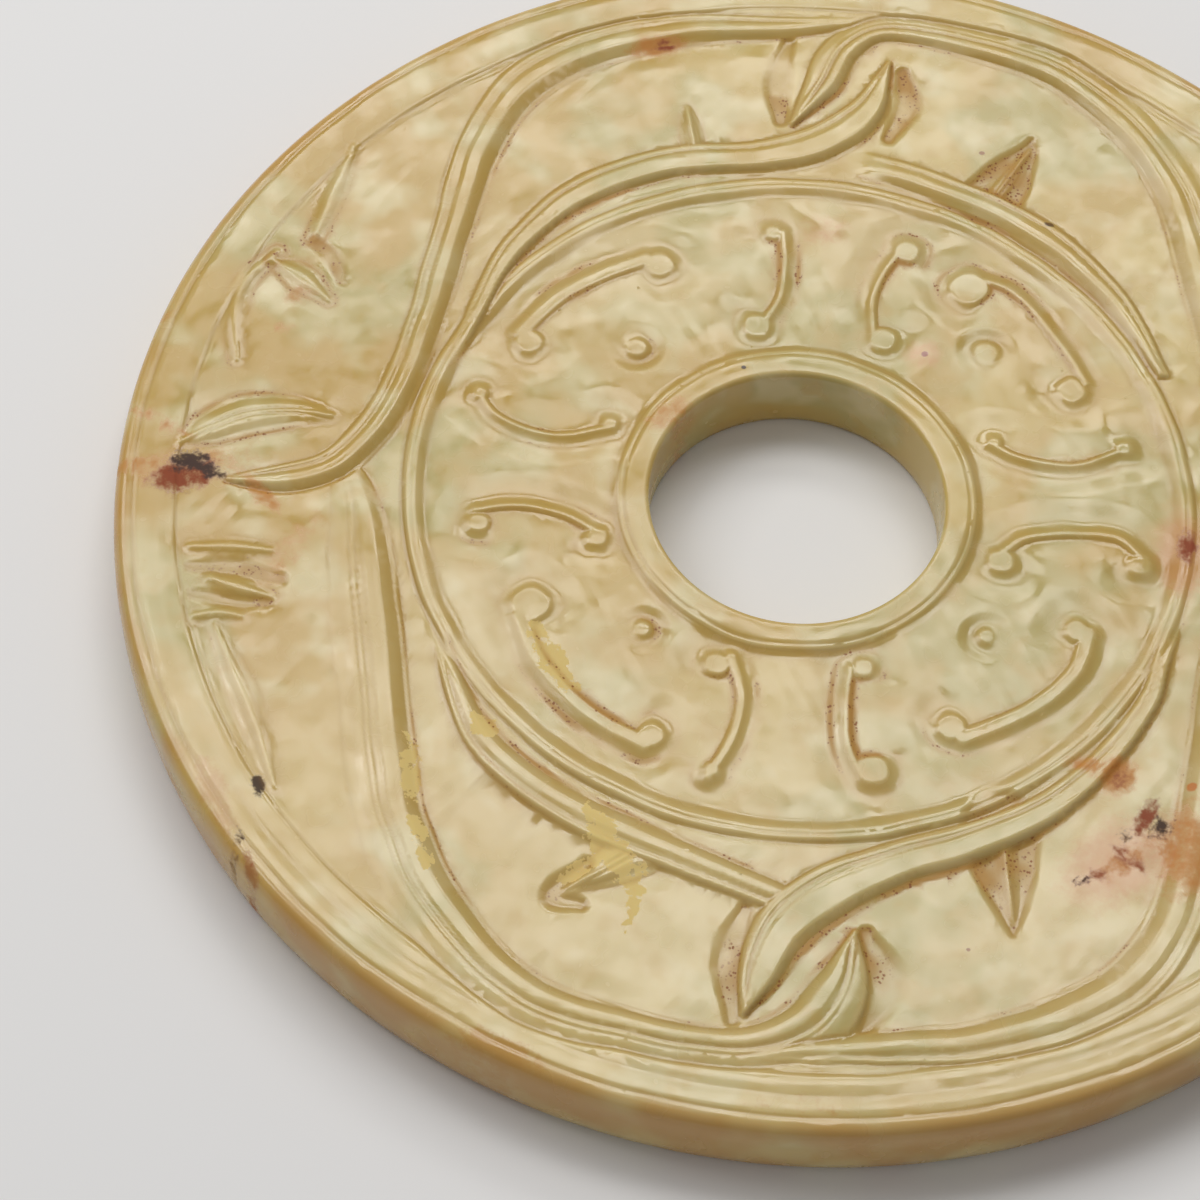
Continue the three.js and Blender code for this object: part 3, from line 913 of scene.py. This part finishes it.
def keep_painted_light_masks(mesh, top, level):
    """Stores how much of a crease, a crest or a steep flank each point is, as masks for painted
    shade and a painted highlight.
    """
    form = hollows(mesh, level)[top]
    keep_values(mesh, "crease_shade", top, np.clip(form, 0, 1))
    keep_values(mesh, "crest", top, np.clip(-form, 0, 1))
    facing = read(mesh.vertex_normals, "vector", np.float32, 3).reshape(-1, 3)
    slope = np.arccos(np.clip(facing[top, 2], -1, 1))
    keep_values(mesh, "flank", top, smooth((slope - STEEP_FROM) / (STEEP_TO - STEEP_FROM)))


def carve_stone(slab):
    """Moves the net's points to the carved heights, and stores the earth and the form."""
    mesh = slab.data
    top = select_top(mesh)
    places = points_of(mesh)
    height, dirt = carve(places[top, 0].copy(), places[top, 1].copy())
    places[top, 2] = np.minimum(height, cad_high[2] / MM)
    mesh.vertices.foreach_set("co", (places * MM).ravel())
    mesh.update()
    for x, y, size, share in EARTHY_PLACES:
        away = (places[top, 0] - x) ** 2 + (places[top, 1] - y) ** 2
        dirt *= 1 + share * np.exp(-away / size ** 2)
    keep_values(mesh, "earth", top, np.clip(dirt * EARTH_SHARE, 0, 1) ** EARTH_CONTRAST)
    keep_painted_light_masks(mesh, top, places[:, 2])
    lowest, highest = places[top, 2].min(), places[top, 2].max()
    print("relief from", round(lowest, 2), "to", round(highest, 2), "mm")


carve_stone(stone)


# %% [markdown]
# ## Where the stains are
# Iron, dark minerals and yellow crust sit where the photograph shows them. Each is a patch, and
# the points of the stone keep how deep in a patch they lie. It is only colour: nothing is raised.

# %% Stains: x, y, length, width, turn in degrees and strength
STAINS = {
    "honey": [
        (-42, 18, 62, 90, 25, 0.8), (-50, -20, 14, 60, 20, 0.6), (-4, 8, 20, 12, 0, 0.4),
    ],
    "pale": [
        (12, -38, 60, 34, 10, 0.6), (-8, 22, 40, 14, 10, 0.5), (-22, -22, 16, 36, 30, 0.4),
    ],
    "orange": [
        (-48.6, -0.9, 10, 4, 10, 0.6), (-43.2, -3, 5, 1.3, -45, 0.85),
        (-52.2, 3.4, 6, 0.9, -25, 0.8), (-53, -1.2, 5, 1.6, 5, 0.9),
        (-13.7, 45.1, 4.8, 1.8, 18, 0.95), (28.3, -30.6, 4, 8, 0, 0.85),
        (23.4, -24.4, 2.8, 3.2, -20, 1), (21, -23.6, 3.4, 1.6, -20, 0.8),
        (-11.4, 6.6, 4.6, 2.4, 50, 0.65), (-42, 16.5, 2.6, 2, 20, 0.6),
        (-43, 13, 1.8, 1.4, 0, 0.6), (-53.2, 13.5, 2.6, 1.3, 20, 0.7),
        (-40.5, -8, 9, 2.5, 60, 0.45), (23.6, -31.6, 6, 2, 35, 0.7),
    ],
    "red": [
        (-49.4, -1.7, 5, 3, 20, 0.9), (-13, 45.3, 1.9, 1.1, 15, 0.8),
        (-40.9, -35.9, 0.9, 2.8, 20, 0.8), (24.2, -31.4, 4, 1.1, -35, 0.75),
        (25.4, -27.8, 3.6, 1.3, 60, 0.8), (23.5, -24.7, 1.5, 2.2, -20, 0.6),
        (29.6, -3.6, 1.5, 3, 0, 0.8), (21.4, -33, 2.4, 1.2, 20, 0.6),
    ],
    "pink": [
        (23.4, -31.6, 9, 5.6, 35, 0.8), (29.2, -4.4, 3.6, 7, 0, 0.9),
        (9.1, 13.9, 2.8, 2.8, 0, 0.6), (0.8, 26, 4, 3.4, 0, 0.45),
    ],
    "dark": [
        (-49.2, -0.4, 3, 2.4, 20, 0.95), (-47.4, -1.2, 3, 1.5, -12, 0.9),
        (26.4, -28.7, 1.9, 1.8, 0, 0.9), (-41, -29, 1.1, 1.9, 0, 0.9),
        (-41.9, -33.6, 1.1, 1.4, 20, 0.85), (-42.2, -34.9, 0.9, 0.9, 0, 0.8),
        (23.8, -29.3, 1.8, 1.3, 30, 0.8), (20.6, -33.3, 1.7, 1.1, 0, 0.8),
    ],
    "crust": [
        (-19.6, -16.6, 7, 2.2, -58, 0.8), (-24.5, -22.9, 2.6, 2, -30, 0.8),
        (-29.8, -27, 6, 1.6, -82, 0.75), (-28.6, -33, 6, 1.5, -72, 0.7),
        (-14.6, -32.6, 7, 2.4, -60, 0.85), (-12.6, -36.6, 5.4, 1.2, 80, 0.85),
        (-16.6, -34.4, 4, 1.3, 30, 0.8),
    ],
    "tan": [
        (-22, -49.4, 7, 2.2, -20, 0.9), (-44, -30, 2.2, 7, 25, 0.8), (0, -52.5, 9, 2, 0, 0.5),
    ],
}


REACH_OF_STAIN = 1.6


def stain_field(x, y, patches):
    """How deep in a patch each point lies: its strength inside, fading to 0 outside."""
    field = np.zeros(len(x))
    for px, py, length, width, turn, strength in patches:
        c, s = math.cos(math.radians(turn)), math.sin(math.radians(turn))
        u = ((x - px) * c + (y - py) * s) * 2 / length
        v = ((y - py) * c - (x - px) * s) * 2 / width
        field = np.maximum(field, strength * np.clip(REACH_OF_STAIN - np.hypot(u, v), 0, 1))
    return field


def keep_stains(mesh):
    """Stores every stain's field on the points of the mesh."""
    x, y, _ = points_of(mesh).T
    for name, patches in STAINS.items():
        keep_values(mesh, name, slice(None), stain_field(x, y, patches))


keep_stains(stone.data)
print(len(STAINS), "kinds of stain")


# %% [markdown]
# ## Thinning the net
# The net is far denser than the polished flats need. Decimate removes the points that carry no
# shape and keeps those on crests and in fine cuts, so the stone keeps to a set number of triangles.
# Only the carved side is thinned. The rim and the hole keep their rings.

# %% Thin the net and smooth the shading
MOST_TRIANGLES = 196000


def triangle_count(mesh):
    """How many triangles the mesh has."""
    mesh.calc_loop_triangles()
    return len(mesh.loop_triangles)


def thin(slab):
    """Decimates the carved side, so that the stone keeps to its number of triangles."""
    select_top(slab.data, margin=-0.01)
    on_top = 2 * int(read(slab.data.polygons, "select", bool).sum())
    others = triangle_count(slab.data) - on_top
    print(on_top, "triangles on the carved side and", others, "elsewhere")
    bpy.context.view_layer.objects.active = slab
    set_mode(mode="EDIT")
    bpy.ops.mesh.decimate(ratio=(MOST_TRIANGLES - others) / on_top)
    set_mode(mode="OBJECT")
    slab.data.polygons.foreach_set("use_smooth", np.ones(len(slab.data.polygons), dtype=bool))
    print(triangle_count(slab.data), "triangles")


thin(stone)


# %% [markdown]
# ## The jade
# Nephrite is milky: light enters it, scatters and comes out warmer. Its colour drifts from cream to
# honey and grey green. Iron has stained it orange along cracks, a few dark mineral spots sit in it,
# and earth from the burial is left in the cuts. The finish is built as layers: the drifting base
# colour, painted shade on steep flanks and in creases and a painted highlight on crests, then the
# stains, from the numbers on the points. Each helper below adds a node or two.

# %% Helpers for the material
jade = bpy.data.materials.new("jade")
jade.use_nodes = True
nodes = jade.node_tree.nodes
links = jade.node_tree.links
shader = next(node for node in nodes if node.type == "BSDF_PRINCIPLED")
where = nodes.new("ShaderNodeTexCoord").outputs["Object"]


def fill(node, numbers):
    """Sets a node's inputs, given by their names or places."""
    for name, number in numbers.items():
        node.inputs[name].default_value = number


def clouds(size, detail=2, roughness=0.55):
    """Soft noise with features of about this size, in millimetres."""
    noise = nodes.new("ShaderNodeTexNoise")
    fill(noise, {"Scale": 1 / (size * MM), "Detail": detail, "Roughness": roughness})
    links.new(where, noise.inputs["Vector"])
    return noise.outputs["Fac"]


def between(value, low, high, to_low=0.0, to_high=1.0, soft=True):
    """Maps a value's range to another, with soft ends."""
    ramp = nodes.new("ShaderNodeMapRange")
    ramp.interpolation_type = "SMOOTHSTEP" if soft else "LINEAR"
    links.new(value, ramp.inputs["Value"])
    fill(ramp, {"From Min": low, "From Max": high, "To Min": to_low, "To Max": to_high})
    return ramp.outputs["Result"]


def combine(operation, first, second):
    """One sum of two values, of which the second may be a number."""
    sum_node = nodes.new("ShaderNodeMath")
    sum_node.operation = operation
    links.new(first, sum_node.inputs[0])
    if isinstance(second, (int, float)):
        sum_node.inputs[1].default_value = second
    else:
        links.new(second, sum_node.inputs[1])
    return sum_node.outputs[0]


def tint(under, colour, amount):
    """Lays a colour over another where amount is 1."""
    mix = nodes.new("ShaderNodeMix")
    mix.data_type = "RGBA"
    links.new(amount, mix.inputs["Factor"])
    if isinstance(under, tuple):
        mix.inputs["A"].default_value = (*under, 1)
    else:
        links.new(under, mix.inputs["A"])
    mix.inputs["B"].default_value = (*colour, 1)
    return mix.outputs["Result"]


def stored(name):
    """A number that was kept on each point of the stone."""
    node = nodes.new("ShaderNodeAttribute")
    node.attribute_name = name
    return node.outputs["Fac"]


def ragged_by(amount):
    """Noise round 0 that makes an edge ragged by this amount."""
    noise = combine("MULTIPLY_ADD", ragged, amount)
    fill(noise.node, {2: -0.5 * amount})
    return noise


ragged = clouds(1.3, 3, 0.75)
print(len(nodes), "nodes to start with")

# %% Base colour of the stone, with painted shade and a painted highlight
HONEY = (0.53, 0.345, 0.078)
CREAM = (0.6, 0.45, 0.15)
GREY_GREEN = (0.48, 0.41, 0.15)
PALE = (0.67, 0.56, 0.29)
colour = tint(CREAM, HONEY, between(clouds(19), 0.4, 0.62, 0, 0.9))
colour = tint(colour, HONEY, stored("honey"))
colour = tint(colour, PALE, stored("pale"))
colour = tint(colour, GREY_GREEN, between(clouds(12), 0.49, 0.63, 0, 0.85))
colour = tint(colour, PALE, between(clouds(6), 0.5, 0.66, 0, 0.7))
colour = tint(colour, HONEY, between(clouds(3.4, roughness=0.5), 0.52, 0.72, 0, 0.45))

# Painted light: the stored flank and crease numbers lay painted shade into the colour, and the
# crest number lays in a painted highlight.
FLANK_PAINTED_SHADE = (0.46, 0.29, 0.06)
CREASE_PAINTED_SHADE = (0.36, 0.205, 0.035)
CREST_PAINTED_HIGHLIGHT = (0.72, 0.59, 0.31)
PAINTED_LIGHT_TINTS = [
    ("flank", FLANK_PAINTED_SHADE, 0.5), ("crease_shade", CREASE_PAINTED_SHADE, 0.38), ("crest", CREST_PAINTED_HIGHLIGHT, 0.32),
]
for name, paint, share in PAINTED_LIGHT_TINTS:
    colour = tint(colour, paint, combine("MULTIPLY", stored(name), share))
print(len(nodes), "nodes in the base colour")

# %% [markdown]
# Noise is added to a stain's stored number, and where the sum passes a threshold the stain shows.
# Crust gets sharp broken edges and iron soft ones.

# %% Stains of iron, crust and dark minerals
ORANGE = (0.52, 0.16, 0.0)
RED = (0.25, 0.03, 0.001)
PINK = (0.56, 0.28, 0.09)
DARK = (0.045, 0.022, 0.014)
TAN = (0.5, 0.27, 0.06)
CRUST = (0.74, 0.56, 0.2)
STAIN_LAYERS = [
    ("pink", PINK, 0.1, 0.85, 0.85, 0.8), ("orange", ORANGE, 0.2, 1.0, 0.72, 1.1),
    ("tan", TAN, 0.35, 0.9, 0.8, 1.5), ("red", RED, 0.25, 0.85, 0.92, 1.3),
    ("dark", DARK, 0.42, 0.9, 0.95, 1.7), ("crust", CRUST, 0.5, 0.62, 0.9, 2),
]
shown = {}
for name, paint, low, high, strength, raggedness in STAIN_LAYERS:
    rough_field = combine("ADD", stored(name), ragged_by(raggedness))
    shown[name] = between(rough_field, low, high, 0, strength)
    colour = tint(colour, paint, shown[name])
print(len(shown), "stains")

# %% Small dots, placed in millimetres
BROWN = (0.26, 0.085, 0.0)
DOT_SOFTNESS, DOT_RAGGEDNESS, DOT_STRENGTH, DOT_DEPTH = 0.25, 0.8, 0.95, 6
DOTS = [
    (RED, 9.1, 13.9, 0.55, 0.55), (DARK, 19.6, 27.8, 0.8, 0.65), (DARK, -5.6, 11.4, 0.4, 0.34),
    (BROWN, 11.9, -39.5, 0.34, 0.3), (BROWN, 14.1, 35.2, 0.5, 0.4),
    (ORANGE, 28.9, -25.1, 0.75, 0.75),
]


def dot(x, y, length, width):
    """A small patch round a point of the disc, 1 inside it and 0 outside."""
    mapping = nodes.new("ShaderNodeMapping")
    mapping.vector_type = "TEXTURE"
    half_sizes = (length / 2 * MM, width / 2 * MM, DOT_DEPTH * MM)
    fill(mapping, {"Location": (x * MM, y * MM, THICKNESS * MM), "Scale": half_sizes})
    links.new(where, mapping.inputs["Vector"])
    from_dot = nodes.new("ShaderNodeVectorMath")
    from_dot.operation = "LENGTH"
    links.new(mapping.outputs["Vector"], from_dot.inputs[0])
    distance = combine("ADD", from_dot.outputs["Value"], ragged_by(DOT_RAGGEDNESS))
    return between(distance, 1 + DOT_SOFTNESS, 1 - DOT_SOFTNESS, 0, DOT_STRENGTH)


for paint, *place in DOTS:
    colour = tint(colour, paint, dot(*place))
print(len(DOTS), "dots")

# %% [markdown]
# The rim is browner than the face, because it was handled and lay in the earth. Its tone depends
# on the distance from the disc's axis, so it follows the edge all round. The specks of earth are
# small random cells that only show where the carving kept dirt.

# %% Rim tone and earth in the cuts
from_axis = nodes.new("ShaderNodeVectorMath")
from_axis.operation = "LENGTH"
flat_place = nodes.new("ShaderNodeMapping")
fill(flat_place, {"Scale": (1, 1, 0)})
links.new(where, flat_place.inputs["Vector"])
links.new(flat_place.outputs["Vector"], from_axis.inputs[0])
RIM_FROM, RIM_TO = 52.8, 55
rim = between(from_axis.outputs["Value"], RIM_FROM * MM, RIM_TO * MM)
rim_patches = between(clouds(9), 0.38, 0.6, 0.2, 0.95)
colour = tint(colour, TAN, combine("MULTIPLY", rim, rim_patches))

EARTH = (0.44, 0.2, 0.015)
SPECK_SIZE = 0.3
earth_amount = combine("MULTIPLY", stored("earth"), between(clouds(6), 0.4, 0.6, 0.25, 1))
colour = tint(colour, EARTH, combine("MULTIPLY", earth_amount, 0.8))
cells = nodes.new("ShaderNodeTexVoronoi")
fill(cells, {"Scale": 1 / (SPECK_SIZE * MM)})
links.new(where, cells.inputs["Vector"])
specks = between(cells.outputs["Distance"], 0.46, 0.26)
specks = combine("MULTIPLY", specks, between(earth_amount, 0.22, 0.5))
specks = combine("MULTIPLY", specks, between(clouds(0.8), 0.46, 0.58))
colour = tint(colour, BROWN, specks)
links.new(colour, shader.inputs["Base Color"])
print("specks of", SPECK_SIZE, "mm")

# %% [markdown]
# The gloss changes from place to place, and crust, iron, dark minerals and earth are dull.
# Subsurface scattering gives the milkiness. It reaches furthest for red light, so thin and shaded
# places turn warmer.

# %% Gloss and milkiness
SMOOTHEST, ROUGHEST_POLISH, DULL_EARTH, DULL_STAIN = 0.11, 0.3, 0.6, 0.85
fill(shader, {"Subsurface Weight": 0.28, "Subsurface Radius": (1.0, 0.72, 0.35)})
fill(shader, {"Subsurface Scale": 1.6 * MM, "IOR": 1.61})
rough = between(clouds(3.2), 0.35, 0.65, SMOOTHEST, ROUGHEST_POLISH, soft=False)
earthy = combine("MAXIMUM", earth_amount, specks)
rough = combine("MAXIMUM", rough, combine("MULTIPLY", earthy, DULL_EARTH))
stained = shown["crust"]
for name in ("orange", "dark", "red"):
    stained = combine("MAXIMUM", stained, shown[name])
rough = combine("MAXIMUM", rough, combine("MULTIPLY", stained, DULL_STAIN))
links.new(rough, shader.inputs["Roughness"])
stone.data.materials.clear()
stone.data.materials.append(jade)
print(len(nodes), "nodes in the jade")


# %% [markdown]
# ## Floor and light
# The disc lies on a plain pale floor. Two wide soft lights behind it, one above the other, are
# mirrored in the polished flats. A third fills the shadows from the left, with a pale surround.

# %% Floor
FLOOR_SIZE = 3


def make_floor():
    """A wide pale sheet under the disc, marked as stage."""
    deselect_all()
    bpy.ops.mesh.primitive_plane_add(size=FLOOR_SIZE, location=(0, 0, 0))
    floor = bpy.context.object
    floor.name = "floor"
    paper = bpy.data.materials.new("floor")
    paper.use_nodes = True
    paper_shader = next(node for node in paper.node_tree.nodes if node.type == "BSDF_PRINCIPLED")
    fill(paper_shader, {"Base Color": (0.83, 0.83, 0.84, 1), "Roughness": 0.85})
    floor.data.materials.append(paper)
    floor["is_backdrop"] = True


make_floor()
print("floor", FLOOR_SIZE, "m wide")


# %% Lights
LIGHT_DISTANCE = 0.8
WARM_WHITE, NEAR_WHITE = (1, 0.985, 0.95), (1, 0.99, 0.98)


def softbox(name, azimuth, elevation, size, radiance, tone):
    """A soft light that faces the disc. Azimuth 0 is straight behind it, and turns left."""
    turn, rise = math.radians(azimuth), math.radians(elevation)
    flat = math.cos(rise)
    direction = Vector((-math.sin(turn) * flat, math.cos(turn) * flat, math.sin(rise)))
    place = direction * LIGHT_DISTANCE
    data = bpy.data.lights.new(name, "AREA")
    data.shape = "RECTANGLE"
    data.size, data.size_y = size
    data.energy = radiance * math.pi * size[0] * size[1]
    data.color = tone
    lamp = bpy.data.objects.new(name, data)
    bpy.context.scene.collection.objects.link(lamp)
    lamp.location = place
    lamp.rotation_euler = (-place).to_track_quat("-Z", "Y").to_euler()


softbox("high_window", 2, 66, (0.56, 0.22), 4.4, WARM_WHITE)
softbox("low_window", -2, 47.5, (0.5, 0.14), 4.6, WARM_WHITE)
softbox("left_fill", 62, 50, (0.42, 0.4), 3.4, NEAR_WHITE)
world = bpy.data.worlds.new("surround")
world.use_nodes = True
background = world.node_tree.nodes["Background"]
fill(background, {"Color": (1.0, 0.99, 0.97, 1), "Strength": 0.3})
bpy.context.scene.world = world
print("three lights at", LIGHT_DISTANCE, "m")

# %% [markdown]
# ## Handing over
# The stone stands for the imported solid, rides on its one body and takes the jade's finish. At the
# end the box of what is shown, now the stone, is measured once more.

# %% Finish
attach(stone, "root")
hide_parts("bi_disc")
low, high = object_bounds()
